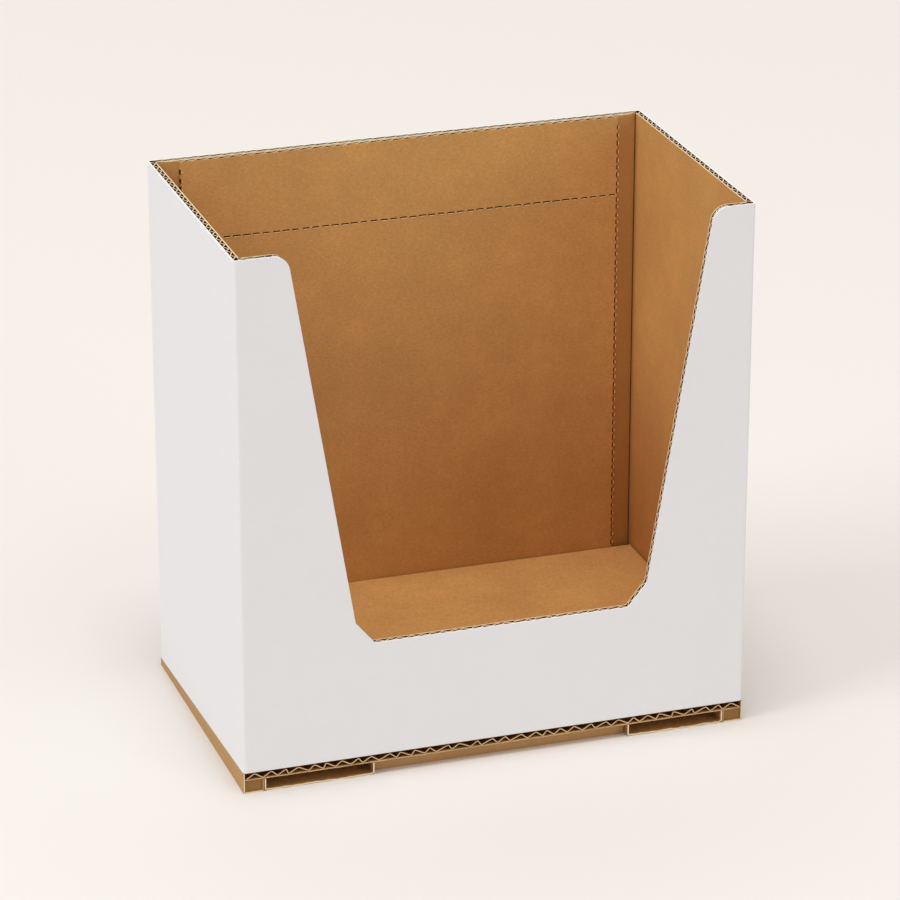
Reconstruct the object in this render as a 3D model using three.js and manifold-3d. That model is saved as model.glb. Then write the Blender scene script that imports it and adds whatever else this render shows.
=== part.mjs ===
// Counter display box: a white sleeve of corrugated board with a deep front cut-out,
// an inner back panel, a raised floor and a low wedge base with two finger slots.
// Millimetres, +Z up, the front faces -Y, the origin is the middle of the footprint.

import * as THREE from 'three';
import { mergeVertices } from 'three/addons/utils/BufferGeometryUtils.js';
import Module from 'manifold-3d';

const wasm = await Module();
wasm.setup();

// Overall size
const width = 300;
const depth = 180;
const height = 316;

// Corrugated board: thickness of the board, its liners and its fluted medium
const boardThickness = 4.5;
const linerThickness = 0.5;
const mediumRun = 0.8;
const fluteTip = 0.7;
const flutePitch = 8.4;
const edgeSolid = 1.6;
const foldRadius = 1.5;

// Front cut-out: widths of the wings beside it, measured from the sides of the box
const cutoutShift = 3;
const wingTopWidth = 27.2;
const wingFootWidth = 63.4;
const lipChamferWidth = 11.3;
const lipChamferHeight = 13.6;
const lipHeight = 39.7;
const shoulderRadius = 9.5;

// Inner back panel: strips pressed back at both ends, slits along the folds and across
const endStripWidth = 12.5;
const endStripGap = 1.2;
const endStripFoldThickness = 2.6;
const endStripEdgeThickness = 0.8;
const tearLineDrop = 47.6;
const tearSlitLength = 4;
const tearSlitPitch = 6;
const tearSlitHeight = 0.7;
const foldSlitLength = 2.4;
const foldSlitPitch = 4.6;
const foldSlitWidth = 0.6;

// Raised floor
const floorHeight = 42;
const flangeSlit = 1;

// Wedge base: the deck rises to the front and touches the table at the rear
const footHeight = 7.8;
const sheetThickness = 0.8;
const railWidth = 12;
const railEndRecess = 1.2;
const centreFootWidth = 152;
const centreFootRecess = 5.5;
const footLength = 110;
const trayCornerRadius = 1.6;

// Clearance between pieces that rest on each other
const seat = 0.3;

const frontY = -depth / 2;
const rearY = depth / 2;
const tiny = 0.5;

// Height of the deck's underside and of the sleeve's lower edge at a given y
const deckSlope = -footHeight / depth;
const deckUnderside = (y) => deckSlope * (y - rearY);
const sleeveFoot = (y) => deckUnderside(y) + boardThickness + seat;

const whiteBoard = new THREE.MeshStandardMaterial({ color: 0xe6e6e8, roughness: 0.75, metalness: 0 });
const kraftBoard = new THREE.MeshStandardMaterial({ color: 0xb98450, roughness: 0.85, metalness: 0 });
const kraftSheet = new THREE.MeshStandardMaterial({ color: 0xae7c49, roughness: 0.85, metalness: 0 });

const parts = new THREE.Group();

function addPiece(name, geometry, material) {
  const mesh = new THREE.Mesh(geometry, material.clone());
  mesh.name = name;
  parts.add(mesh);
}

// Closed mesh to solid and back
function toSolid(geometry) {
  const bare = geometry.clone();
  bare.deleteAttribute('normal');
  bare.deleteAttribute('uv');
  const merged = mergeVertices(bare, 1e-5);
  return new wasm.Manifold(new wasm.Mesh({
    numProp: 3,
    vertProperties: new Float32Array(merged.attributes.position.array),
    triVerts: new Uint32Array(merged.index.array),
  }));
}

function toGeometry(solid) {
  const mesh = solid.getMesh();
  const geometry = new THREE.BufferGeometry();
  geometry.setAttribute('position', new THREE.BufferAttribute(new Float32Array(mesh.vertProperties), 3));
  geometry.setIndex(new THREE.BufferAttribute(new Uint32Array(mesh.triVerts), 1));
  geometry.computeVertexNormals();
  return geometry;
}

// Box between two corners
function block(x0, x1, y0, y1, z0, z1) {
  const geometry = new THREE.BoxGeometry(x1 - x0, y1 - y0, z1 - z0);
  geometry.translate((x0 + x1) / 2, (y0 + y1) / 2, (z0 + z1) / 2);
  return toSolid(geometry);
}

// Closed outline through some points
function polygon(points) {
  return new THREE.Shape(points.map(([x, y]) => new THREE.Vector2(x, y)));
}

// Outline in X and Y, raised along Z
function extrudeUp(shape, z0, z1) {
  const geometry = new THREE.ExtrudeGeometry(shape, {
    depth: z1 - z0, bevelEnabled: false, curveSegments: 4,
  });
  geometry.translate(0, 0, z0);
  return geometry;
}

// Outline in X and Z, run along Y from the front to the rear
function extrudeBack(shape, y0, y1, segments = 6) {
  const geometry = new THREE.ExtrudeGeometry(shape, {
    depth: y1 - y0, bevelEnabled: false, curveSegments: segments,
  });
  geometry.rotateX(Math.PI / 2);
  geometry.translate(0, y1, 0);
  return geometry;
}

// Solid wedge that fills everything under a sloping line z = level(y)
function wedgeBelow(level, y0, y1) {
  const side = polygon([[y0, -height], [y1, -height], [y1, level(y1)], [y0, level(y0)]]);
  const geometry = new THREE.ExtrudeGeometry(side, { depth: 2 * width, bevelEnabled: false });
  geometry.applyMatrix4(new THREE.Matrix4().set(
    0, 0, 1, -width,
    1, 0, 0, 0,
    0, 1, 0, 0,
    0, 0, 0, 1,
  ));
  return toSolid(geometry);
}

// All closed meshes of a list as one solid
function union(geometries) {
  return wasm.Manifold.union(geometries.map(toSolid));
}

// Hollow cells of a run of fluted board. Along the run they stand in turn on
// the near and the far liner, so that the web between them is the zigzag medium.
function fluteCells(runLength, endMargin) {
  const waves = Math.floor((runLength - 2 * endMargin) / flutePitch);
  const start = (runLength - waves * flutePitch) / 2;
  const baseHalf = flutePitch / 2 - fluteTip / 2 - mediumRun;
  const tipHalf = fluteTip / 2;
  const near = linerThickness;
  const far = boardThickness - linerThickness;
  const cells = [];
  for (let i = 0; i < 2 * waves; i += 1) {
    const middle = start + (i + 0.5) * flutePitch / 2;
    const base = i % 2 === 0 ? near : far;
    const tip = i % 2 === 0 ? far - linerThickness : near + linerThickness;
    cells.push([
      [middle - baseHalf, base],
      [middle + baseHalf, base],
      [middle + tipHalf, tip],
      [middle - tipHalf, tip],
    ]);
  }
  return cells;
}

// Sleeve: one blank folded round four corners, flutes upright, cut out at the front

function sleeveOutline() {
  const x = width / 2;
  const y = depth / 2;
  const r = foldRadius;
  const outline = new THREE.Shape();
  outline.absarc(x - r, -y + r, r, -Math.PI / 2, 0);
  outline.absarc(x - r, y - r, r, 0, Math.PI / 2);
  outline.absarc(-x + r, y - r, r, Math.PI / 2, Math.PI);
  outline.absarc(-x + r, -y + r, r, Math.PI, 1.5 * Math.PI);
  outline.closePath();
  return outline;
}

function sleeveCells() {
  const x = width / 2;
  const y = depth / 2;
  const margin = boardThickness + edgeSolid;
  const cells = [];
  for (const cell of fluteCells(width, margin)) {
    cells.push(cell.map(([s, h]) => [s - x, h - y]));
    cells.push(cell.map(([s, h]) => [x - s, y - h]));
  }
  for (const cell of fluteCells(depth, margin)) {
    cells.push(cell.map(([s, h]) => [h - x, y - s]));
    cells.push(cell.map(([s, h]) => [x - h, s - y]));
  }
  return union(cells.map((cell) => extrudeUp(polygon(cell), -tiny, height + tiny)));
}

// Cut-out: rounded shoulders, sides that close in downwards, chamfered lower corners
function cutoutShape() {
  const top = width / 2 - wingTopWidth;
  const lower = width / 2 - wingFootWidth;
  const bottom = lower - lipChamferWidth;
  const bottomZ = floorHeight + lipHeight;
  const lowerZ = bottomZ + lipChamferHeight;
  const lean = Math.atan2(top - lower, height - lowerZ);
  const arcX = top + shoulderRadius * Math.tan((Math.PI / 2 - lean) / 2);
  const arcZ = height - shoulderRadius;
  const over = height + boardThickness;
  const shape = new THREE.Shape();
  shape.moveTo(-arcX, over);
  shape.absarc(-arcX, arcZ, shoulderRadius, Math.PI / 2, lean, true);
  shape.lineTo(-lower, lowerZ);
  shape.lineTo(-bottom, bottomZ);
  shape.lineTo(bottom, bottomZ);
  shape.lineTo(lower, lowerZ);
  shape.absarc(arcX, arcZ, shoulderRadius, Math.PI - lean, Math.PI / 2, true);
  shape.lineTo(arcX, over);
  shape.closePath();
  return shape;
}

const sleeveBlank = toSolid(extrudeUp(sleeveOutline(), 0, height));
const sleeveInside = block(
  -width / 2 + boardThickness, width / 2 - boardThickness,
  frontY + boardThickness, rearY - boardThickness,
  -tiny, height + tiny,
);
const cutout = toSolid(extrudeBack(cutoutShape(), frontY - tiny, frontY + boardThickness + tiny, 8))
  .translate([cutoutShift, 0, 0]);
const sleeveClearance = wedgeBelow(sleeveFoot, frontY - tiny, rearY + tiny);
const sleeve = sleeveBlank
  .subtract(sleeveInside)
  .subtract(sleeveCells())
  .subtract(cutout)
  .subtract(sleeveClearance);
addPiece('sleeve', toGeometry(sleeve), whiteBoard);

// Inner back panel: a second board against the back wall. Its end strips are pressed
// back along slit folds, and a line of slits across it lets the top part tear off.
// It stands on the deck behind the raised floor.

const panelRear = rearY - boardThickness - seat;
const panelFront = panelRear - boardThickness;
const panelWidth = width - 2 * (boardThickness + endStripWidth);

function panelCells() {
  const cells = fluteCells(panelWidth, edgeSolid)
    .map((cell) => cell.map(([s, h]) => [s - panelWidth / 2, panelFront + h]));
  return union(cells.map((cell) => extrudeUp(polygon(cell), -tiny, height + tiny)));
}

function tearSlits() {
  const count = Math.floor((panelWidth - tearSlitLength) / tearSlitPitch);
  const first = -(count - 1) * tearSlitPitch / 2;
  const z = height - tearLineDrop;
  const slits = [];
  for (let i = 0; i < count; i += 1) {
    const x = first + i * tearSlitPitch;
    slits.push(block(
      x - tearSlitLength / 2, x + tearSlitLength / 2,
      panelFront - tiny, panelRear + tiny,
      z - tearSlitHeight / 2, z + tearSlitHeight / 2,
    ));
  }
  return wasm.Manifold.union(slits);
}

// Slits along one fold, at the panel's end, from the raised floor up
function foldSlits(side) {
  const count = Math.floor((height - floorHeight) / foldSlitPitch);
  const x = side * (panelWidth / 2 + foldSlitWidth / 2);
  const slits = [];
  for (let i = 0; i < count; i += 1) {
    const z = floorHeight + (i + 0.5) * foldSlitPitch;
    slits.push(block(
      x - foldSlitWidth / 2, x + foldSlitWidth / 2,
      panelFront - tiny, panelRear + tiny,
      z - foldSlitLength / 2, z + foldSlitLength / 2,
    ));
  }
  return wasm.Manifold.union(slits);
}

function panelOutline() {
  const fold = panelWidth / 2;
  const end = fold + endStripWidth - endStripGap;
  const foldY = panelRear - endStripFoldThickness;
  const endY = panelRear - endStripEdgeThickness;
  return polygon([
    [-end, panelRear], [-end, endY], [-fold, foldY], [-fold, panelFront],
    [fold, panelFront], [fold, foldY], [end, endY], [end, panelRear],
  ]);
}

const backPanel = toSolid(extrudeUp(panelOutline(), 0, height))
  .subtract(panelCells())
  .subtract(tearSlits())
  .subtract(foldSlits(-1))
  .subtract(foldSlits(1))
  .subtract(wedgeBelow(sleeveFoot, frontY, rearY));
addPiece('back_panel', toGeometry(backPanel), kraftBoard);

// Raised floor: a panel with four flanges folded down on to the deck, in front of
// the back panel

const floorHalfWidth = width / 2 - boardThickness - seat;
const floorFront = frontY + boardThickness + seat;
const floorRear = panelFront - seat;

// Space between the flanges, with a slit in each corner that frees them
function flangeSpace() {
  const out = floorHalfWidth + tiny;
  const side = floorHalfWidth - boardThickness;
  const front = floorFront + boardThickness;
  const rear = floorRear - boardThickness;
  const slitFront = front + flangeSlit;
  const slitRear = rear - flangeSlit;
  return polygon([
    [-out, front], [out, front], [out, slitFront], [side, slitFront],
    [side, slitRear], [out, slitRear], [out, rear], [-out, rear],
    [-out, slitRear], [-side, slitRear], [-side, slitFront], [-out, slitFront],
  ]);
}

const raisedFloor = block(-floorHalfWidth, floorHalfWidth, floorFront, floorRear, 0, floorHeight)
  .subtract(toSolid(extrudeUp(flangeSpace(), -tiny, floorHeight - boardThickness)))
  .subtract(wedgeBelow(sleeveFoot, frontY, rearY));
addPiece('floor_insert', toGeometry(raisedFloor), kraftBoard);

// Deck board: flutes run from front to rear, so the open zigzag shows under the white front

const deckWidth = width - 2 * (sheetThickness + seat);

function deckBoard() {
  const cells = fluteCells(deckWidth, edgeSolid)
    .map((cell) => cell.map(([s, h]) => [s - deckWidth / 2, h]));
  const channels = union(cells.map((cell) => extrudeBack(polygon(cell), frontY - tiny, rearY + tiny)));
  const board = block(-deckWidth / 2, deckWidth / 2, frontY, rearY, 0, boardThickness);
  const geometry = toGeometry(board.subtract(channels));
  geometry.applyMatrix4(new THREE.Matrix4().set(
    1, 0, 0, 0,
    0, 1, 0, 0,
    0, deckSlope, 1, -deckSlope * rearY,
    0, 0, 0, 1,
  ));
  return geometry;
}

addPiece('deck_board', deckBoard(), kraftBoard);

// Corner rails: folded sheet, its outer wall covers the deck's end, the front is closed inside

const footTop = (y) => deckUnderside(y) - seat;
const skirtTop = (y) => sleeveFoot(y) - seat;

function cornerRail(side) {
  const t = sheetThickness;
  const outer = width / 2;
  const inner = outer - railWidth;
  const front = frontY + railEndRecess;
  const skirt = block(outer - t, outer, frontY, rearY, 0, height)
    .intersect(wedgeBelow(skirtTop, frontY - tiny, rearY + tiny));
  const channel = block(inner, outer - t, frontY, rearY, 0, t)
    .add(block(inner, inner + t, frontY, rearY, 0, footHeight))
    .add(block(inner, outer - t, front, front + t, 0, footHeight))
    .intersect(wedgeBelow(footTop, frontY - tiny, rearY + tiny));
  const rail = skirt.add(channel.add(block(outer - 2 * t, outer - t, frontY, frontY + t, 0, t)));
  return toGeometry(side < 0 ? rail.mirror([1, 0, 0]) : rail);
}

addPiece('corner_rail_left', cornerRail(-1), kraftSheet);
addPiece('corner_rail_right', cornerRail(1), kraftSheet);

// Slot trays: folded U of sheet with rounded lower corners, open to the front

const footLeft = cutoutShift - centreFootWidth / 2;
const footRight = cutoutShift + centreFootWidth / 2;

function trayOutline(x0, x1, r, z0) {
  const outline = new THREE.Shape();
  outline.moveTo(x0, height);
  outline.absarc(x0 + r, z0 + r, r, Math.PI, 1.5 * Math.PI);
  outline.absarc(x1 - r, z0 + r, r, -Math.PI / 2, 0);
  outline.lineTo(x1, height);
  return outline;
}

function slotTray(x0, x1) {
  const t = sheetThickness;
  const r = trayCornerRadius;
  const outside = toSolid(extrudeBack(trayOutline(x0, x1, r, 0), frontY, frontY + footLength));
  const inside = toSolid(extrudeBack(
    trayOutline(x0 + t, x1 - t, r - t, t), frontY - tiny, frontY + footLength + tiny,
  ));
  const tray = outside.subtract(inside).intersect(wedgeBelow(footTop, frontY - tiny, rearY));
  return toGeometry(tray);
}

addPiece('slot_tray_left', slotTray(-width / 2 + railWidth + seat, footLeft - seat), kraftSheet);
addPiece('slot_tray_right', slotTray(footRight + seat, width / 2 - railWidth - seat), kraftSheet);

// Centre foot: a shallow folded tray set back from the front edge

function centreFoot() {
  const t = sheetThickness;
  const front = frontY + centreFootRecess;
  const rear = frontY + footLength;
  const foot = block(footLeft, footRight, front, rear, 0, footHeight)
    .subtract(block(footLeft + t, footRight - t, front + t, rear - t, t, footHeight))
    .intersect(wedgeBelow(footTop, frontY, rearY));
  return toGeometry(foot);
}

addPiece('centre_foot', centreFoot(), kraftSheet);

export default parts;
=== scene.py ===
import math
import random

import bmesh
import bpy
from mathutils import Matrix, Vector


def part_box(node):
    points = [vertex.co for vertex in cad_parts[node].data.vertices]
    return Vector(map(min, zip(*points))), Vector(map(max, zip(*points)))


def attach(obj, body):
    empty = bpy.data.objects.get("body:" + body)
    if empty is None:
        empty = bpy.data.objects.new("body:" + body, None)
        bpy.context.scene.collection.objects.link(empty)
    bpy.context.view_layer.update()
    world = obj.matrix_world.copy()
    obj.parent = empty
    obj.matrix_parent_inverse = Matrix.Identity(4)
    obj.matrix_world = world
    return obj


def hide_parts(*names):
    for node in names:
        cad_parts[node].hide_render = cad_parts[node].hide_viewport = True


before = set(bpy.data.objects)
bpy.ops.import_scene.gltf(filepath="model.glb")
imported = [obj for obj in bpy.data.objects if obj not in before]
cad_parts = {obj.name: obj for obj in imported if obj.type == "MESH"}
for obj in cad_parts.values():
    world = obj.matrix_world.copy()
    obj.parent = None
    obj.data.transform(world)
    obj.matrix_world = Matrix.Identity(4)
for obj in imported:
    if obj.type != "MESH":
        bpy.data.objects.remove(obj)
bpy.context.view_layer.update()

# Camera
# It looks down on the box from the front left, as in the photograph, with a long
# lens, so that the upright edges stay nearly parallel.
CAMERA_AZIMUTH = math.radians(-18.52)
CAMERA_ELEVATION = math.radians(22.2)
CAMERA_DISTANCE = 2.4147
CAMERA_LENS = 168.0
CAMERA_TARGET = Vector((0.00175, 0, 0.15346))

camera_back = Vector((
    math.sin(CAMERA_AZIMUTH) * math.cos(CAMERA_ELEVATION),
    -math.cos(CAMERA_AZIMUTH) * math.cos(CAMERA_ELEVATION),
    math.sin(CAMERA_ELEVATION),
))
bpy.ops.object.camera_add(location=CAMERA_TARGET + camera_back * CAMERA_DISTANCE)
camera = bpy.context.object
camera.rotation_euler = (-camera_back).to_track_quat("-Z", "Y").to_euler()
camera.data.lens = CAMERA_LENS
camera.data.sensor_width = 36.0
camera.data.clip_end = 30.0
bpy.context.scene.camera = camera
bpy.context.scene.view_settings.view_transform = "Standard"

# Table and light
# A warm white sweep of paper in an even warm room, with a soft window high on the left, a
# ceiling light and a weak fill from the front right. Only what is seen of the paper is
# made paler, so that this adds hardly any light to the box.
SWEEP_SIZE = 16.0
SWEEP_COLOUR = (0.88, 0.84, 0.79, 1)
SWEEP_SEEN = (0.90, 0.86, 0.81, 1)
SWEEP_LIFT = (0.035, 0.035, 0.035, 1)
SWEEP_NEAR = 0.90
SWEEP_NEAR_RADIUS = 0.12
SWEEP_FAR_RADIUS = 0.42
ROOM_COLOUR = (1.0, 0.948, 0.89, 1)
ROOM_STRENGTH = 0.46

bpy.ops.mesh.primitive_plane_add(size=SWEEP_SIZE, location=(0, 0, 0))
sweep = bpy.context.object
sweep.name = "sweep"
sweep_paper = bpy.data.materials.new("sweep_paper")
sweep_paper.use_nodes = True
sweep_nodes = sweep_paper.node_tree.nodes
sweep_links = sweep_paper.node_tree.links
sweep_shader = sweep_nodes["Principled BSDF"]
sweep_shader.inputs["Roughness"].default_value = 0.95
sweep_shader.inputs["Specular IOR Level"].default_value = 0.1

# The paper is in view for the rays of the camera, of reflections and through clear pieces.
rays = sweep_nodes.new("ShaderNodeLightPath")
seen_glossy = sweep_nodes.new("ShaderNodeMath")
seen_glossy.operation = "MAXIMUM"
sweep_links.new(rays.outputs["Is Camera Ray"], seen_glossy.inputs[0])
sweep_links.new(rays.outputs["Is Glossy Ray"], seen_glossy.inputs[1])
seen = sweep_nodes.new("ShaderNodeMath")
seen.operation = "MAXIMUM"
sweep_links.new(seen_glossy.outputs[0], seen.inputs[0])
sweep_links.new(rays.outputs["Is Transmission Ray"], seen.inputs[1])

# Painted shade: the paper's colour is a little darker near the box, so that it does not burn out
# beside the front.
sweep_place = sweep_nodes.new("ShaderNodeTexCoord")
from_box = sweep_nodes.new("ShaderNodeVectorMath")
from_box.operation = "LENGTH"
sweep_links.new(sweep_place.outputs["Object"], from_box.inputs[0])
near_shade = sweep_nodes.new("ShaderNodeMapRange")
near_shade.interpolation_type = "SMOOTHSTEP"
near_shade.inputs["From Min"].default_value = SWEEP_NEAR_RADIUS
near_shade.inputs["From Max"].default_value = SWEEP_FAR_RADIUS
near_shade.inputs["To Min"].default_value = SWEEP_NEAR
near_shade.inputs["To Max"].default_value = 1.0
sweep_links.new(from_box.outputs["Value"], near_shade.inputs["Value"])
shaded_paper = sweep_nodes.new("ShaderNodeVectorMath")
shaded_paper.operation = "SCALE"
shaded_paper.inputs[0].default_value = SWEEP_SEEN[:3]
sweep_links.new(near_shade.outputs["Result"], shaded_paper.inputs["Scale"])

seen_colour = sweep_nodes.new("ShaderNodeMix")
seen_colour.data_type = "RGBA"
seen_colour.inputs["A"].default_value = SWEEP_COLOUR
sweep_links.new(shaded_paper.outputs["Vector"], seen_colour.inputs["B"])
sweep_links.new(seen.outputs[0], seen_colour.inputs["Factor"])
sweep_links.new(seen_colour.outputs["Result"], sweep_shader.inputs["Base Color"])
sweep_shader.inputs["Emission Color"].default_value = SWEEP_LIFT
sweep_links.new(seen.outputs[0], sweep_shader.inputs["Emission Strength"])
sweep.data.materials.append(sweep_paper)

room = bpy.context.scene.world or bpy.data.worlds.new("room")
bpy.context.scene.world = room
room.use_nodes = True
room.node_tree.nodes["Background"].inputs["Color"].default_value = ROOM_COLOUR
room.node_tree.nodes["Background"].inputs["Strength"].default_value = ROOM_STRENGTH


def aim_area_light(name, place, target, size, power, colour):
    bpy.ops.object.light_add(type="AREA", location=place)
    lamp = bpy.context.object
    lamp.name = name
    lamp.data.shape = "SQUARE"
    lamp.data.size = size
    lamp.data.energy = power
    lamp.data.color = colour
    lamp.rotation_euler = (Vector(target) - Vector(place)).to_track_quat("-Z", "Y").to_euler()


aim_area_light("window", (-8.6, -1.6, 6.3), (0, 0, 0.1), 4.4, 345.0, (0.96, 0.985, 1.02))
aim_area_light("ceiling", (-0.5, -1.5, 11.5), (0, 0, 0.1), 4.6, 530.0, (0.965, 0.985, 1.015))
aim_area_light("front_fill", (6.8, -9.4, 4.0), (0, 0, 0.15), 6.0, 158.0, (0.95, 0.98, 1.03))

# Sleeve
# One blank of single-wall corrugated board, folded round four corners: a white outer
# liner, an upright fluted medium and a kraft inner liner, glued together. The front
# has the deep cut-out, and the lower edge follows the slope of the wedge base.
MM = 0.001
BOARD = 4.5 * MM
LINER = 0.75 * MM
WHITE_LINER = 1.05 * MM
MEDIUM = 0.6 * MM
EDGE_MEDIUM = 0.72 * MM
SLEEVE_PITCH = 7.0 * MM
CUTOUT_PITCH = 5.4 * MM
LIP_PITCH = 6.4 * MM
FOLD_RADIUS = 2.0 * MM
INNER_FOLD_RADIUS = 1.3 * MM
SEAT = 0.3 * MM
CORNER_CRUSH = 3.4 * MM
FOOT_HEIGHT = 7.8 * MM
CUTOUT_SHIFT = 3.0 * MM
WING_TOP = 27.2 * MM
WING_FOOT = 63.4 * MM
LIP_CHAMFER_WIDTH = 11.3 * MM
LIP_CHAMFER_HEIGHT = 13.6 * MM
LIP_Z = 81.7 * MM
SHOULDER_RADIUS = 9.5 * MM
SHOULDER_STEPS = 10
SPARE = 6.0 * MM
EDGE_FLUTES = 3.4 * MM
EDGE_SETBACK = 0.12 * MM
EDGE_SWAY = 0.8
FLUTE_STRAIGHT = 0.62
FLUTE_STEPS = 10
MERGE_DISTANCE = 0.05 * MM

sleeve_low, sleeve_high = (Vector(corner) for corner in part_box("sleeve"))
HALF_WIDTH = sleeve_high.x
HALF_DEPTH = sleeve_high.y
RIM_Z = sleeve_high.z
DECK_SLOPE = -FOOT_HEIGHT / (2 * HALF_DEPTH)
SLEEVE_FOOT = BOARD + SEAT + FOOT_HEIGHT / 2


def pick_nothing():
    if bpy.context.object and bpy.context.object.mode != "OBJECT":
        bpy.ops.object.mode_set(mode="OBJECT")
    bpy.ops.object.select_all(action="DESELECT")


def pick(piece):
    pick_nothing()
    piece.select_set(True)
    bpy.context.view_layer.objects.active = piece


def settle(piece):
    pick(piece)
    bpy.ops.object.transform_apply(location=True, rotation=True, scale=True)


def finish_modifiers(piece):
    pick(piece)
    for modifier in list(piece.modifiers):
        bpy.ops.object.modifier_apply(modifier=modifier.name)


def join(name, pieces):
    pick(pieces[0])
    for piece in pieces[1:]:
        piece.select_set(True)
    bpy.ops.object.join()
    joined = bpy.context.object
    joined.name = name
    joined.data.name = name
    return joined


def dress(piece, *finishes):
    piece.data.materials.clear()
    for finish in finishes:
        piece.data.materials.append(finish)


def hand_over(piece, node):
    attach(piece, "root")
    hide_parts(node)


def cut_away(piece, cutter, face_slot=0, keep_cutter=False):
    """Subtract a closed cutter; the new faces take the piece's material in face_slot."""
    dress(cutter, *piece.data.materials)
    for face in cutter.data.polygons:
        face.material_index = face_slot
    cut = piece.modifiers.new("cut", "BOOLEAN")
    cut.operation = "DIFFERENCE"
    cut.solver = "EXACT"
    cut.object = cutter
    finish_modifiers(piece)
    if not keep_cutter:
        bpy.data.objects.remove(cutter, do_unlink=True)


def trim_to_deck(piece, height_at_centre, keep_above=True):
    """Bisect along the sloping deck, height_at_centre above the table at y = 0."""
    pick(piece)
    bpy.ops.object.mode_set(mode="EDIT")
    bpy.ops.mesh.select_all(action="SELECT")
    bpy.ops.mesh.bisect(
        plane_co=(0, 0, height_at_centre),
        plane_no=(0, -DECK_SLOPE, 1),
        clear_inner=keep_above,
        clear_outer=not keep_above,
    )
    bpy.ops.object.mode_set(mode="OBJECT")


def folded_ring(name, half_x, half_y, fold_radius, z0, z1):
    bpy.ops.mesh.primitive_cube_add(size=1, location=(0, 0, (z0 + z1) / 2))
    ring = bpy.context.object
    ring.name = name
    ring.scale = (2 * half_x, 2 * half_y, z1 - z0)
    settle(ring)
    bpy.ops.object.mode_set(mode="EDIT")
    bpy.ops.mesh.select_mode(type="FACE")
    bpy.ops.mesh.select_all(action="DESELECT")
    shape = bmesh.from_edit_mesh(ring.data)
    for face in shape.faces:
        face.select = abs(face.normal.z) > 0.9
    bmesh.update_edit_mesh(ring.data)
    bpy.ops.mesh.delete(type="ONLY_FACE")
    bpy.ops.mesh.select_mode(type="EDGE")
    bpy.ops.mesh.select_all(action="DESELECT")
    shape = bmesh.from_edit_mesh(ring.data)
    for edge in shape.edges:
        along = edge.verts[0].co - edge.verts[1].co
        edge.select = abs(along.z) > 0.9 * along.length
    bmesh.update_edit_mesh(ring.data)
    bpy.ops.mesh.bevel(offset=fold_radius, segments=5, affect="EDGES")
    bpy.ops.object.mode_set(mode="OBJECT")
    return ring


def give_thickness(piece, thickness, offset=-1, inner_slot=1, rim_slot=2):
    solidify = piece.modifiers.new("thickness", "SOLIDIFY")
    solidify.thickness = thickness
    solidify.offset = offset
    solidify.material_offset = inner_slot
    solidify.material_offset_rim = rim_slot
    finish_modifiers(piece)


def wave_profile(phase):
    """Near a triangle, with rounded tips, from -1 to 1."""
    triangle = 1 - 4 * abs(phase - math.floor(phase) - 0.5)
    return FLUTE_STRAIGHT * triangle - (1 - FLUTE_STRAIGHT) * math.cos(2 * math.pi * phase)


def fluted_sheet(name, length, z0, z1, depth, pitch, seed, finishes, sway=0.35):
    """Upright wave sheet along X, its middle plane at y = 0, with no thickness yet. Its
    folds lie up to sway millimetres off their even places."""
    waves = max(2, round(length / pitch))
    pitch = length / waves
    bpy.ops.mesh.primitive_grid_add(x_subdivisions=FLUTE_STEPS, y_subdivisions=1, size=1)
    flute = bpy.context.object
    flute.name = name
    flute.scale = (pitch, z1 - z0, 1)
    flute.rotation_euler = (math.pi / 2, 0, 0)
    flute.location = (-(waves - 1) * pitch / 2, 0, (z0 + z1) / 2)
    settle(flute)
    row = flute.modifiers.new("row", "ARRAY")
    row.count = waves
    row.use_relative_offset = False
    row.use_constant_offset = True
    row.constant_offset_displace = (pitch, 0, 0)
    row.use_merge_vertices = True
    row.merge_threshold = MERGE_DISTANCE
    finish_modifiers(flute)
    jitter = random.Random(seed)
    shift = [jitter.uniform(-sway, sway) * MM for _ in range(2 * waves + 2)]
    swell = [jitter.uniform(0.9, 1.0) for _ in range(2 * waves + 2)]
    reach = (depth - MEDIUM) / 2
    for vertex in flute.data.vertices:
        phase = (vertex.co.x + length / 2) / pitch
        i = min(int(2 * phase), 2 * waves)
        blend = 2 * phase - i
        ends = min(1, phase, waves - phase)
        vertex.co.x += ends * (shift[i] * (1 - blend) + shift[i + 1] * blend)
        vertex.co.y = reach * wave_profile(phase) * (swell[i] * (1 - blend) + swell[i + 1] * blend)
    dress(flute, *finishes)
    return flute


def place_wall(piece, turn, x, y):
    piece.rotation_euler = (0, 0, turn)
    piece.location = (x, y, 0)
    settle(piece)


def cutout_path():
    """Right half of the cut-out's outline in X and Z, from the lip up to the shoulder."""
    top = HALF_WIDTH - WING_TOP
    lower = HALF_WIDTH - WING_FOOT
    bottom = lower - LIP_CHAMFER_WIDTH
    lower_z = LIP_Z + LIP_CHAMFER_HEIGHT
    lean = math.atan2(top - lower, RIM_Z - lower_z)
    arc_x = top + SHOULDER_RADIUS * math.tan((math.pi / 2 - lean) / 2)
    arc_z = RIM_Z - SHOULDER_RADIUS
    right = [(bottom, LIP_Z), (lower, lower_z)]
    for i in range(SHOULDER_STEPS + 1):
        angle = math.pi - lean - (math.pi / 2 - lean) * i / SHOULDER_STEPS
        x = arc_x + SHOULDER_RADIUS * math.cos(angle)
        z = arc_z + SHOULDER_RADIUS * math.sin(angle)
        right.append((x, z))
    return right


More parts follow.
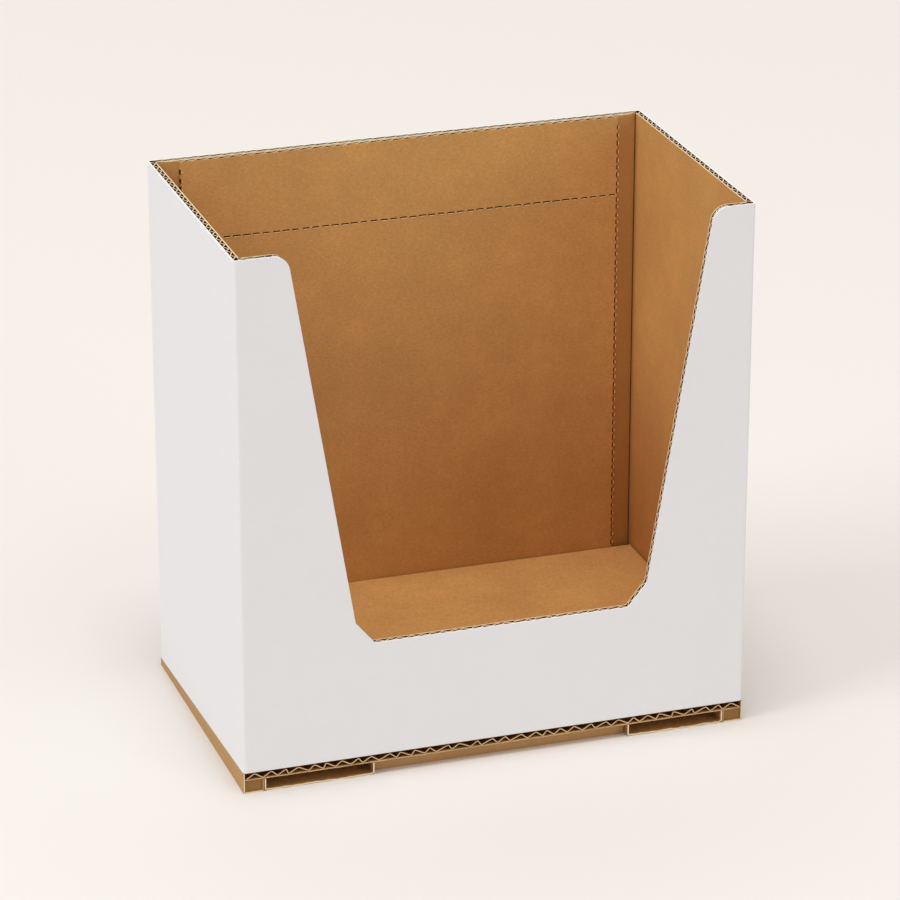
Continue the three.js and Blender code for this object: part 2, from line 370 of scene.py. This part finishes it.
def cutout_cutter(room=0.0):
    """Prism through the front wall in the outline of the cut-out, larger all round by room."""
    right = [(x + room, z - room) for x, z in cutout_path()]
    right.append((right[-1][0], RIM_Z + SPARE))
    outline = right + [(-x, z) for x, z in reversed(right)]
    front = -HALF_DEPTH - SPARE
    mesh = bpy.data.meshes.new("cutout_cutter")
    corners = [(x + CUTOUT_SHIFT, front, z) for x, z in outline]
    mesh.from_pydata(corners, [], [list(range(len(corners)))])
    cutter = bpy.data.objects.new("cutout_cutter", mesh)
    bpy.context.collection.objects.link(cutter)
    pick(cutter)
    bpy.ops.object.mode_set(mode="EDIT")
    bpy.ops.mesh.select_all(action="SELECT")
    bpy.ops.mesh.extrude_region_move(
        TRANSFORM_OT_translate={"value": (0, BOARD + 2 * SPARE, 0)},
    )
    bpy.ops.mesh.select_all(action="SELECT")
    bpy.ops.mesh.normals_make_consistent(inside=False)
    bpy.ops.object.mode_set(mode="OBJECT")
    return cutter


def edge_flutes(name, start, end, pitch, seed):
    """The medium as the cut edge shows it: a narrow wave sheet from start to end in X and Z,
    its wave across the board and its depth into the board."""
    run = Vector((end[0] - start[0], 0, end[1] - start[1]))
    ribbon = fluted_sheet(
        name, run.length, -EDGE_FLUTES, -EDGE_SETBACK, SLEEVE_CAVITY, pitch, seed,
        (kraft_medium_and_shade, kraft_cut_edge), EDGE_SWAY,
    )
    ribbon.rotation_euler = (0, -math.atan2(run.z, run.x), 0)
    ribbon.location = (
        (start[0] + end[0]) / 2 + CUTOUT_SHIFT,
        -HALF_DEPTH + MID_BOARD,
        (start[1] + end[1]) / 2,
    )
    settle(ribbon)
    give_thickness(ribbon, EDGE_MEDIUM, offset=0, inner_slot=0, rim_slot=1)
    return ribbon


def paper_finish(name, base, dark, light, mottle, flecks, roughness, bump, ribs=0.0):
    """Matt paper: cloudy mottle, fine fibres that lie level, sparse dark and light flecks,
    and where ribs is given, the faint washboard of the flutes under the liner."""
    material = bpy.data.materials.new(name)
    material.use_nodes = True
    nodes = material.node_tree.nodes
    links = material.node_tree.links
    shader = nodes["Principled BSDF"]
    shader.inputs["Roughness"].default_value = roughness
    shader.inputs["Specular IOR Level"].default_value = 0.12
    place = nodes.new("ShaderNodeTexCoord")

    def noise(scale, detail, stretch):
        mapping = nodes.new("ShaderNodeMapping")
        mapping.inputs["Scale"].default_value = stretch
        links.new(place.outputs["Object"], mapping.inputs["Vector"])
        texture = nodes.new("ShaderNodeTexNoise")
        texture.inputs["Scale"].default_value = scale
        texture.inputs["Detail"].default_value = detail
        texture.inputs["Roughness"].default_value = 0.55
        links.new(mapping.outputs["Vector"], texture.inputs["Vector"])
        return texture.outputs["Fac"]

    def remap(value, low, high, strength):
        ranged = nodes.new("ShaderNodeMapRange")
        ranged.inputs["From Min"].default_value = low
        ranged.inputs["From Max"].default_value = high
        ranged.inputs["To Max"].default_value = strength
        links.new(value, ranged.inputs["Value"])
        return ranged.outputs["Result"]

    def blend(factor, first, second):
        mixer = nodes.new("ShaderNodeMix")
        mixer.data_type = "RGBA"
        links.new(factor, mixer.inputs["Factor"])
        for socket, colour in ((mixer.inputs["A"], first), (mixer.inputs["B"], second)):
            if isinstance(colour, tuple):
                socket.default_value = colour
            else:
                links.new(colour, socket)
        return mixer.outputs["Result"]

    lighter = tuple(min(1, c * (1 + mottle)) for c in base) + (1,)
    darker = tuple(c * (1 - mottle) for c in base) + (1,)
    clouds = remap(noise(26, 5, (1, 1, 0.8)), 0.3, 0.7, 1)
    patches = remap(noise(150, 4, (0.8, 0.8, 1)), 0.35, 0.68, 0.5)
    dark_fibres = remap(noise(900, 3, (0.55, 0.55, 1)), 0.45, 0.75, 0.5 * flecks)
    light_fibres = remap(noise(1100, 2, (0.6, 0.6, 1)), 0.56, 0.78, 0.45 * flecks)
    colour = blend(clouds, darker, lighter)
    colour = blend(patches, colour, darker)
    colour = blend(dark_fibres, colour, dark + (1,))
    colour = blend(light_fibres, colour, light + (1,))
    links.new(colour, shader.inputs["Base Color"])

    relief = nodes.new("ShaderNodeBump")
    relief.inputs["Distance"].default_value = bump
    relief.inputs["Strength"].default_value = 0.7
    links.new(noise(1100, 3, (0.5, 0.5, 1)), relief.inputs["Height"])
    normal = relief.outputs["Normal"]
    if ribs:
        split = nodes.new("ShaderNodeSeparateXYZ")
        links.new(place.outputs["Object"], split.inputs["Vector"])
        run = nodes.new("ShaderNodeMath")
        run.operation = "ADD"
        links.new(split.outputs["X"], run.inputs[0])
        links.new(split.outputs["Y"], run.inputs[1])
        turn = nodes.new("ShaderNodeMath")
        turn.operation = "MULTIPLY"
        turn.inputs[1].default_value = 2 * math.pi / SLEEVE_PITCH
        links.new(run.outputs[0], turn.inputs[0])
        wave = nodes.new("ShaderNodeMath")
        wave.operation = "SINE"
        links.new(turn.outputs[0], wave.inputs[0])
        washboard = nodes.new("ShaderNodeBump")
        washboard.inputs["Distance"].default_value = ribs
        washboard.inputs["Strength"].default_value = 1.0
        links.new(wave.outputs[0], washboard.inputs["Height"])
        links.new(normal, washboard.inputs["Normal"])
        normal = washboard.outputs["Normal"]
    links.new(normal, shader.inputs["Normal"])
    return material


white_liner = paper_finish(
    "white_liner", (0.868, 0.875, 0.9), (0.81, 0.816, 0.835), (0.905, 0.912, 0.93),
    0.008, 0.35, 0.6, 0.02 * MM, 0.006 * MM,
)
kraft_liner = paper_finish(
    "kraft_liner", (0.68, 0.368, 0.125), (0.48, 0.235, 0.065), (0.84, 0.55, 0.26),
    0.1, 1.0, 0.7, 0.03 * MM, 0.004 * MM,
)
# Partly painted shade: the medium is coloured far darker than its kraft, so that the flute cells,
# the slits and the deck's upper edge read as in shade.
kraft_medium_and_shade = paper_finish(
    "kraft_medium_and_shade", (0.19, 0.074, 0.017), (0.1, 0.036, 0.009), (0.28, 0.13, 0.045),
    0.08, 0.8, 0.8, 0.05 * MM,
)
# Painted shade: a dark kraft for the inside corner folds of the sleeve and the rounded folds of
# the raised floor, where shade lies.
painted_fold_shade = paper_finish(
    "painted_fold_shade", (0.17, 0.065, 0.016), (0.1, 0.035, 0.01), (0.28, 0.12, 0.04),
    0.08, 0.6, 0.75, 0.03 * MM,
)
kraft_cut_edge = paper_finish(
    "kraft_cut_edge", (0.93, 0.75, 0.5), (0.66, 0.44, 0.24), (0.96, 0.86, 0.68),
    0.06, 0.7, 0.85, 0.06 * MM,
)
white_cut_edge = paper_finish(
    "white_cut_edge", (0.985, 0.975, 0.955), (0.92, 0.89, 0.84), (0.99, 0.985, 0.975),
    0.01, 0.4, 0.8, 0.04 * MM,
)

front_cutter = cutout_cutter()

outer_liner = folded_ring("sleeve_white_liner", HALF_WIDTH, HALF_DEPTH, FOLD_RADIUS, 0, RIM_Z)
trim_to_deck(outer_liner, SLEEVE_FOOT)
dress(outer_liner, white_liner, kraft_medium_and_shade, white_cut_edge)
give_thickness(outer_liner, WHITE_LINER)
cut_away(outer_liner, front_cutter, 2, keep_cutter=True)

inner_liner = folded_ring(
    "sleeve_kraft_liner", HALF_WIDTH - BOARD + LINER, HALF_DEPTH - BOARD + LINER,
    INNER_FOLD_RADIUS, 0, RIM_Z,
)
trim_to_deck(inner_liner, SLEEVE_FOOT)
dress(inner_liner, kraft_medium_and_shade, kraft_liner, kraft_cut_edge, painted_fold_shade)
# Painted shade: the inside faces of the four upright corner folds take the dark fold-shade kraft.
for face in inner_liner.data.polygons:
    if abs(face.normal.x) > 0.2 and abs(face.normal.y) > 0.2:
        face.material_index = 2
give_thickness(inner_liner, LINER)
cut_away(inner_liner, front_cutter, 2)

SLEEVE_CAVITY = BOARD - WHITE_LINER - LINER
MID_BOARD = WHITE_LINER + SLEEVE_CAVITY / 2
run_x = 2 * HALF_WIDTH - 2 * CORNER_CRUSH
run_y = 2 * HALF_DEPTH - 2 * CORNER_CRUSH
walls = []
for i, (run, turn, x, y) in enumerate((
    (run_x, 0, 0, -HALF_DEPTH + MID_BOARD),
    (run_x, math.pi, 0, HALF_DEPTH - MID_BOARD),
    (run_y, math.pi / 2, HALF_WIDTH - MID_BOARD, 0),
    (run_y, -math.pi / 2, -HALF_WIDTH + MID_BOARD, 0),
)):
    wall = fluted_sheet(
        f"sleeve_flutes_{i}", run, 0, RIM_Z, SLEEVE_CAVITY, SLEEVE_PITCH, 11 + i,
        (kraft_medium_and_shade, kraft_cut_edge),
    )
    place_wall(wall, turn, x, y)
    trim_to_deck(wall, SLEEVE_FOOT)
    give_thickness(wall, MEDIUM, offset=0, inner_slot=0, rim_slot=1)
    walls.append(wall)
cut_away(walls[0], cutout_cutter(EDGE_FLUTES))

edge_points = cutout_path()
lip_end, chamfer_end, shoulder = edge_points[0], edge_points[1], edge_points[2:]
edge_runs = [
    (lip_end, chamfer_end), (chamfer_end, shoulder[0]), (shoulder[0], shoulder[4]),
    (shoulder[4], shoulder[7]), (shoulder[7], shoulder[10]),
]
lip_start = (-lip_end[0], lip_end[1])
ribbons = [edge_flutes("lip_flutes", lip_start, lip_end, LIP_PITCH, 31)]
for i, (low, high) in enumerate(edge_runs):
    ribbons.append(edge_flutes(f"right_edge_flutes_{i}", low, high, CUTOUT_PITCH, 41 + i))
    ribbons.append(edge_flutes(
        f"left_edge_flutes_{i}", (-high[0], high[1]), (-low[0], low[1]), CUTOUT_PITCH, 51 + i,
    ))
fluting = join("sleeve_fluting", walls + ribbons)

hand_over(outer_liner, "sleeve")
hand_over(inner_liner, "sleeve")
hand_over(fluting, "sleeve")

# Back panel
# A second board glued inside the back wall, all kraft. Near the top a line of slits lets
# the upper part tear off, and at both ends a strip is pressed back along a slit fold.
END_STRIP = 12.5 * MM
END_GAP = 1.2 * MM
STRIP_FOLD = 2.6 * MM
STRIP_EDGE = 0.8 * MM
TEAR_DROP = 47.6 * MM
TEAR_PITCH = 5.9 * MM
TEAR_LENGTH = 4.1 * MM
TEAR_WIDTH = 0.95 * MM
NICK_PITCH = 4.9 * MM
NICK_LENGTH = 3.1 * MM
NICK_WIDTH = 1.25 * MM
SLIT_DEPTH = LINER + 0.2 * MM
NICK_DEPTH = LINER + 1.2 * MM

PANEL_REAR = HALF_DEPTH - BOARD - SEAT
PANEL_FRONT = PANEL_REAR - BOARD
PANEL_FOLD = HALF_WIDTH - BOARD - END_STRIP
PANEL_END = PANEL_FOLD + END_STRIP - END_GAP
FLOOR_Z = 42.0 * MM
TEAR_Z = RIM_Z - TEAR_DROP


def upright_sheet(name, profile, *finishes):
    """Liner that follows a profile in X and Y, upright from the table to the rim."""
    mesh = bpy.data.meshes.new(name)
    edges = [(i, i + 1) for i in range(len(profile) - 1)]
    mesh.from_pydata([(x, y, 0) for x, y in profile], edges, [])
    sheet = bpy.data.objects.new(name, mesh)
    bpy.context.collection.objects.link(sheet)
    pick(sheet)
    bpy.ops.object.mode_set(mode="EDIT")
    bpy.ops.mesh.select_all(action="SELECT")
    bpy.ops.mesh.extrude_region_move(TRANSFORM_OT_translate={"value": (0, 0, RIM_Z)})
    bpy.ops.object.mode_set(mode="OBJECT")
    dress(sheet, *finishes)
    give_thickness(sheet, LINER, offset=1)
    return sheet


def slab(name, low, high):
    """Closed block between two corners, as a start for a cut or for a small piece of paper."""
    bpy.ops.mesh.primitive_cube_add(size=1, location=[(a + b) / 2 for a, b in zip(low, high)])
    block = bpy.context.object
    block.name = name
    block.scale = [b - a for a, b in zip(low, high)]
    settle(block)
    return block


# Each slit lies a little off its even place and has a raised lip of torn paper.
slit_random = random.Random(7)
tear_count = round(2 * (PANEL_FOLD - MM) / TEAR_PITCH)
slit_cutters = []
lips = []
for i in range(tear_count):
    x = (i - (tear_count - 1) / 2) * TEAR_PITCH + slit_random.uniform(-0.35, 0.35) * MM
    z = TEAR_Z + slit_random.uniform(-0.12, 0.12) * MM
    half = (TEAR_LENGTH + slit_random.uniform(-0.7, 0.5) * MM) / 2
    slit_cutters.append(slab(
        "tear_slit", (x - half, PANEL_FRONT - MM, z - TEAR_WIDTH / 2),
        (x + half, PANEL_FRONT + SLIT_DEPTH, z + TEAR_WIDTH / 2),
    ))
    lips.append(slab(
        "tear_lip", (x - 0.75 * half, PANEL_FRONT - 0.15 * MM, z - TEAR_WIDTH / 2 - 0.3 * MM),
        (x + 0.85 * half, PANEL_FRONT + 0.3 * MM, z - TEAR_WIDTH / 2 + 0.1 * MM),
    ))
nick_count = int((RIM_Z - FLOOR_Z) / NICK_PITCH)
for side in (-1, 1):
    for i in range(nick_count):
        z = FLOOR_Z + (i + 0.6) * NICK_PITCH + slit_random.uniform(-0.5, 0.5) * MM
        x = side * (PANEL_FOLD - 0.35 * MM)
        half = (NICK_LENGTH + slit_random.uniform(-0.6, 0.5) * MM) / 2
        slit_cutters.append(slab(
            "nick", (x - NICK_WIDTH / 2, PANEL_FRONT - MM, z - half),
            (x + NICK_WIDTH / 2, PANEL_FRONT + NICK_DEPTH, z + half),
        ))
        lips.append(slab(
            "nick_lip",
            (x + NICK_WIDTH / 2 - 0.1 * MM, PANEL_FRONT - 0.1 * MM, z - 0.7 * half),
            (x + NICK_WIDTH / 2 + 0.35 * MM, PANEL_FRONT + 0.5 * MM, z + 0.5 * half),
        ))
slit_cutter = join("slit_cutter", slit_cutters)

strip_fold_y = PANEL_REAR - STRIP_FOLD
strip_end_y = PANEL_REAR - STRIP_EDGE
# Painted shade: the end strips' front faces take a darker kraft, for the shade they stand in
# beside the side walls.
kraft_strip_shade = paper_finish(
    "kraft_strip_shade", (0.585, 0.315, 0.108), (0.42, 0.21, 0.06), (0.7, 0.42, 0.18),
    0.06, 0.5, 0.66, 0.03 * MM,
)
half_profile = [
    (PANEL_FOLD - 0.5 * MM, PANEL_FRONT),
    (PANEL_FOLD - 0.1 * MM, PANEL_FRONT + 0.35 * MM),
    (PANEL_FOLD + 0.1 * MM, strip_fold_y - 0.3 * MM),
    (PANEL_FOLD + 0.7 * MM, strip_fold_y),
    (PANEL_END, strip_end_y),
]
panel_profile = [(-x, y) for x, y in reversed(half_profile)] + half_profile
panel_face = upright_sheet(
    "panel_face_liner", panel_profile, kraft_liner, kraft_medium_and_shade, kraft_cut_edge,
)
dress(panel_face, kraft_liner, kraft_medium_and_shade, kraft_cut_edge, kraft_strip_shade)
trim_to_deck(panel_face, SLEEVE_FOOT)
# Painted shade: the front faces of the end strips take the darker strip kraft.
for face in panel_face.data.polygons:
    if face.material_index == 0 and abs(face.center.x) > PANEL_FOLD and face.normal.y < -0.3:
        face.material_index = 3
# Painted shade: the slits' cut faces take the dark medium colour.
cut_away(panel_face, slit_cutter, 1)

panel_back = upright_sheet(
    "panel_rear_liner", [(PANEL_END, PANEL_REAR), (-PANEL_END, PANEL_REAR)],
    kraft_liner, kraft_medium_and_shade, kraft_cut_edge,
)
trim_to_deck(panel_back, SLEEVE_FOOT)

panel_flutes = fluted_sheet(
    "panel_flutes", 2 * (PANEL_FOLD - MM), 0, RIM_Z, BOARD - 2 * LINER, SLEEVE_PITCH, 71,
    (kraft_medium_and_shade, kraft_cut_edge),
)
place_wall(panel_flutes, 0, 0, PANEL_REAR - BOARD / 2)
trim_to_deck(panel_flutes, SLEEVE_FOOT)
give_thickness(panel_flutes, MEDIUM, offset=0, inner_slot=0, rim_slot=1)

kraft_lip = paper_finish(
    "kraft_lip", (0.93, 0.62, 0.32), (0.72, 0.42, 0.18), (0.96, 0.76, 0.5),
    0.06, 0.6, 0.8, 0.03 * MM,
)
slit_lips = join("panel_slit_lips", lips)
dress(slit_lips, kraft_lip)

for piece in (panel_face, panel_back, panel_flutes, slit_lips):
    hand_over(piece, "back_panel")

# Raised floor
# One kraft board folded down on all four sides, so that its flanges stand on the deck and
# carry the goods 42 mm above the table. It fills the sleeve in front of the back panel.
floor_low, floor_high = (Vector(corner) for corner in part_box("floor_insert"))
FLOOR_FOLD = 1.6 * MM

raised_floor = slab("raised_floor", (floor_low.x, floor_low.y, 0), floor_high)
bpy.ops.object.mode_set(mode="EDIT")
bpy.ops.mesh.select_mode(type="FACE")
bpy.ops.mesh.select_all(action="DESELECT")
floor_shape = bmesh.from_edit_mesh(raised_floor.data)
for face in floor_shape.faces:
    face.select = face.normal.z < -0.9
bmesh.update_edit_mesh(raised_floor.data)
bpy.ops.mesh.delete(type="FACE")
bpy.ops.mesh.select_mode(type="EDGE")
bpy.ops.mesh.select_all(action="DESELECT")
floor_shape = bmesh.from_edit_mesh(raised_floor.data)
for edge in floor_shape.edges:
    edge.select = min(vertex.co.z for vertex in edge.verts) > FLOOR_Z - MM
bmesh.update_edit_mesh(raised_floor.data)
bpy.ops.mesh.bevel(offset=FLOOR_FOLD, segments=3, affect="EDGES")
bpy.ops.object.mode_set(mode="OBJECT")
trim_to_deck(raised_floor, SLEEVE_FOOT)
dress(raised_floor, kraft_liner, kraft_liner, kraft_cut_edge, painted_fold_shade)
# Painted shade: the rounded folds of the floor take the dark fold-shade kraft, for the shade line
# along its edges.
for face in raised_floor.data.polygons:
    if 0.1 < face.normal.z < 0.6:
        face.material_index = 3
give_thickness(raised_floor, BOARD)
hand_over(raised_floor, "floor_insert")

# Deck board
# Single-wall board under the sleeve, kraft on both sides. Its flutes run from front to
# rear, so that the open zigzag shows along the whole front, over a light lower liner.
SHEET = 0.8 * MM
DECK_PITCH = 8.6 * MM
DECK_HALF = HALF_WIDTH - SHEET - SEAT
DECK_UPPER = 0.35 * MM
DECK_LOWER = 0.65 * MM
DECK_MEDIUM = 0.6 * MM
DECK_SWAY = 1.7
DECK_UNEVEN = 0.35 * MM

kraft_stroke = paper_finish(
    "kraft_stroke", (0.74, 0.50, 0.25), (0.5, 0.28, 0.11), (0.88, 0.68, 0.42),
    0.08, 0.9, 0.85, 0.04 * MM,
)


def slope_with_deck(piece):
    """Shear a level piece so that it lies parallel to the sloping deck."""
    for vertex in piece.data.vertices:
        vertex.co.z += DECK_SLOPE * (vertex.co.y - HALF_DEPTH)


deck_flutes = fluted_sheet(
    "deck_flutes", 2 * DECK_HALF - 1.2 * MM, -HALF_DEPTH + 0.15 * MM, HALF_DEPTH - 0.15 * MM,
    BOARD - DECK_UPPER - DECK_LOWER, DECK_PITCH, 5, (kraft_medium_and_shade, kraft_stroke), DECK_SWAY,
)
deck_flutes.rotation_euler = (math.pi / 2, 0, 0)
deck_flutes.location = (0, 0, (BOARD - DECK_UPPER + DECK_LOWER) / 2)
settle(deck_flutes)
give_thickness(deck_flutes, DECK_MEDIUM, offset=0, inner_slot=0, rim_slot=1)
slope_with_deck(deck_flutes)


def deck_liner(name, z0, z1, cuts, edge_finish):
    """Flat liner of the deck, its front and rear edges a little uneven."""
    liner = slab(name, (-DECK_HALF, -HALF_DEPTH, z0), (DECK_HALF, HALF_DEPTH, z1))
    dress(liner, kraft_liner, edge_finish)
    for face in liner.data.polygons:
        face.material_index = 0 if abs(face.normal.z) > 0.9 else 1
    bpy.ops.object.mode_set(mode="EDIT")
    bpy.ops.mesh.select_all(action="SELECT")
    bpy.ops.mesh.subdivide(number_cuts=cuts)
    bpy.ops.object.mode_set(mode="OBJECT")
    wobble = random.Random(cuts)
    for vertex in liner.data.vertices:
        if abs(abs(vertex.co.y) - HALF_DEPTH) < 0.01 * MM:
            vertex.co.y *= 1 - wobble.uniform(0, DECK_UNEVEN) / HALF_DEPTH
    slope_with_deck(liner)
    return liner


# Painted shade: the upper liner's edges take the dark medium colour, for the shade under the
# sleeve's front edge.
deck_upper = deck_liner("deck_upper_liner", BOARD - DECK_UPPER, BOARD, 31, kraft_medium_and_shade)
deck_lower = deck_liner("deck_lower_liner", 0, DECK_LOWER, 33, kraft_cut_edge)
for piece in (deck_flutes, deck_upper, deck_lower):
    hand_over(piece, "deck_board")

# Corner rails
# Folded kraft sheet, one at each side: an outer wall that covers the deck's end, a channel
# under the deck, and a front end that is closed a little behind the edge.
RAIL_WIDTH = 12.0 * MM
RAIL_RECESS = 1.2 * MM
FOOT_TOP = FOOT_HEIGHT / 2 - SEAT
SKIRT_TOP = BOARD + FOOT_HEIGHT / 2
SOLE_RECESS = 0.25 * MM
BLANK_TOP = 30.0 * MM

kraft_sheet = paper_finish(
    "kraft_sheet", (0.52, 0.31, 0.135), (0.38, 0.2, 0.075), (0.64, 0.42, 0.21),
    0.05, 0.5, 0.72, 0.02 * MM,
)
# Painted shade: the recessed end flaps take a darker kraft than the rest of the sheet, for the
# shade in the recess.
kraft_recess_shade = paper_finish(
    "kraft_recess_shade", (0.34, 0.18, 0.06), (0.24, 0.11, 0.035), (0.44, 0.25, 0.1),
    0.05, 0.5, 0.75, 0.02 * MM,
)


def paper_box(name, low, high, top=None):
    """Sheet with its edges just broken; top trims it under the sloping deck."""
    sheet = slab(name, low, high)
    if top is not None:
        bpy.ops.object.mode_set(mode="EDIT")
        bpy.ops.mesh.select_all(action="SELECT")
        bpy.ops.mesh.bisect(
            plane_co=(0, 0, top), plane_no=(0, -DECK_SLOPE, 1), clear_outer=True, use_fill=True,
        )
        bpy.ops.object.mode_set(mode="OBJECT")
    soft = sheet.modifiers.new("soft", "BEVEL")
    soft.width = 0.12 * MM
    soft.segments = 1
    soft.limit_method = "ANGLE"
    finish_modifiers(sheet)
    dress(sheet, kraft_sheet, kraft_cut_edge)
    return sheet


def light_ends(piece, front_y):
    """The cut edge that looks to the front is paler than the faces."""
    for face in piece.data.polygons:
        at_front = face.normal.y < -0.9 and face.center.y < front_y + 0.05 * MM
        face.material_index = 1 if at_front else 0


for side, node_name in ((-1, "corner_rail_left"), (1, "corner_rail_right")):
    outer = side * HALF_WIDTH
    wall = side * (HALF_WIDTH - SHEET)
    inner = side * (HALF_WIDTH - RAIL_WIDTH)
    rear = HALF_DEPTH
    front = -HALF_DEPTH
    skirt = paper_box(
        f"{node_name}_wall", (min(outer, wall), front, 0),
        (max(outer, wall), rear, BLANK_TOP), SKIRT_TOP,
    )
    light_ends(skirt, front)
    sole = paper_box(
        f"{node_name}_sole", (min(inner, wall), front + SOLE_RECESS, 0),
        (max(inner, wall), rear, SHEET), FOOT_TOP,
    )
    light_ends(sole, front + SOLE_RECESS)
    inner_wall = side * (HALF_WIDTH - RAIL_WIDTH + SHEET)
    web = paper_box(
        f"{node_name}_web", (min(inner, inner_wall), front + 0.1 * MM, 0.1 * MM),
        (max(inner, inner_wall), rear, BLANK_TOP), FOOT_TOP,
    )
    end_front = front + RAIL_RECESS
    end_flap = paper_box(
        f"{node_name}_end", (min(inner_wall, wall), end_front, SHEET),
        (max(inner_wall, wall), end_front + SHEET, BLANK_TOP), FOOT_TOP - 0.15 * MM,
    )
    # Painted shade: the end flap is dressed in the darker recess kraft.
    dress(end_flap, kraft_recess_shade, kraft_recess_shade)
    rail = join(f"{node_name}_sheet", [skirt, sole, web, end_flap])
    hand_over(rail, node_name)

# Slot trays
# Each flat finger slot is lined by a U of kraft sheet, with rounded lower corners and a
# front edge that the die has left slightly ragged.
CENTRE_FOOT_WIDTH = 152.0 * MM
FOOT_LENGTH = 110.0 * MM
TRAY_CORNER = 1.6 * MM
TRAY_CORNER_STEPS = 4
TRAY_SOLE_STEPS = 24
foot_left = CUTOUT_SHIFT - CENTRE_FOOT_WIDTH / 2
foot_right = CUTOUT_SHIFT + CENTRE_FOOT_WIDTH / 2

kraft_tray = paper_finish(
    "kraft_tray", (0.42, 0.235, 0.09), (0.28, 0.14, 0.045), (0.54, 0.34, 0.16),
    0.06, 0.6, 0.75, 0.02 * MM,
)


def slot_tray(name, x0, x1, seed):
    """Sheet bent to a U that follows a profile in X and Z, from the front edge to the rear."""
    profile = [(x0, FOOT_HEIGHT + MM)]
    for i in range(TRAY_CORNER_STEPS + 1):
        angle = math.pi + i * math.pi / 2 / TRAY_CORNER_STEPS
        x = x0 + TRAY_CORNER * (1 + math.cos(angle))
        profile.append((x, TRAY_CORNER * (1 + math.sin(angle))))
    for i in range(1, TRAY_SOLE_STEPS):
        x = x0 + TRAY_CORNER + (x1 - x0 - 2 * TRAY_CORNER) * i / TRAY_SOLE_STEPS
        profile.append((x, 0))
    for i in range(TRAY_CORNER_STEPS + 1):
        angle = 1.5 * math.pi + i * math.pi / 2 / TRAY_CORNER_STEPS
        x = x1 - TRAY_CORNER * (1 - math.cos(angle))
        profile.append((x, TRAY_CORNER * (1 + math.sin(angle))))
    profile.append((x1, FOOT_HEIGHT + MM))
    mesh = bpy.data.meshes.new(name)
    edges = [(i, i + 1) for i in range(len(profile) - 1)]
    mesh.from_pydata([(x, -HALF_DEPTH, z) for x, z in profile], edges, [])
    tray = bpy.data.objects.new(name, mesh)
    bpy.context.collection.objects.link(tray)
    pick(tray)
    bpy.ops.object.mode_set(mode="EDIT")
    bpy.ops.mesh.select_all(action="SELECT")
    bpy.ops.mesh.extrude_region_move(TRANSFORM_OT_translate={"value": (0, FOOT_LENGTH, 0)})
    bpy.ops.object.mode_set(mode="OBJECT")
    trim_to_deck(tray, FOOT_TOP, keep_above=False)
    ragged = random.Random(seed)
    for vertex in tray.data.vertices:
        if abs(vertex.co.y + HALF_DEPTH) < 0.01 * MM and vertex.co.z < 0.5 * MM:
            vertex.co.y += ragged.uniform(0, 0.8) * MM
            vertex.co.z += ragged.uniform(0, 0.45) * MM
    dress(tray, kraft_tray, kraft_tray, kraft_cut_edge)
    give_thickness(tray, SHEET)
    return tray


slot_end = HALF_WIDTH - RAIL_WIDTH - SEAT
left_tray = slot_tray("slot_tray_left_sheet", -slot_end, foot_left - SEAT, 91)
right_tray = slot_tray("slot_tray_right_sheet", foot_right + SEAT, slot_end, 92)
hand_over(left_tray, "slot_tray_left")
hand_over(right_tray, "slot_tray_right")

# Centre foot
# The shallow folded kraft tray between the slots, glued under the deck and set back
# from the front edge.
CENTRE_RECESS = 5.5 * MM
foot_front = -HALF_DEPTH + CENTRE_RECESS
centre_foot_sheet = paper_box(
    "centre_foot_sheet", (foot_left, foot_front, 0),
    (foot_right, -HALF_DEPTH + FOOT_LENGTH, BLANK_TOP), FOOT_TOP,
)
hand_over(centre_foot_sheet, "centre_foot")
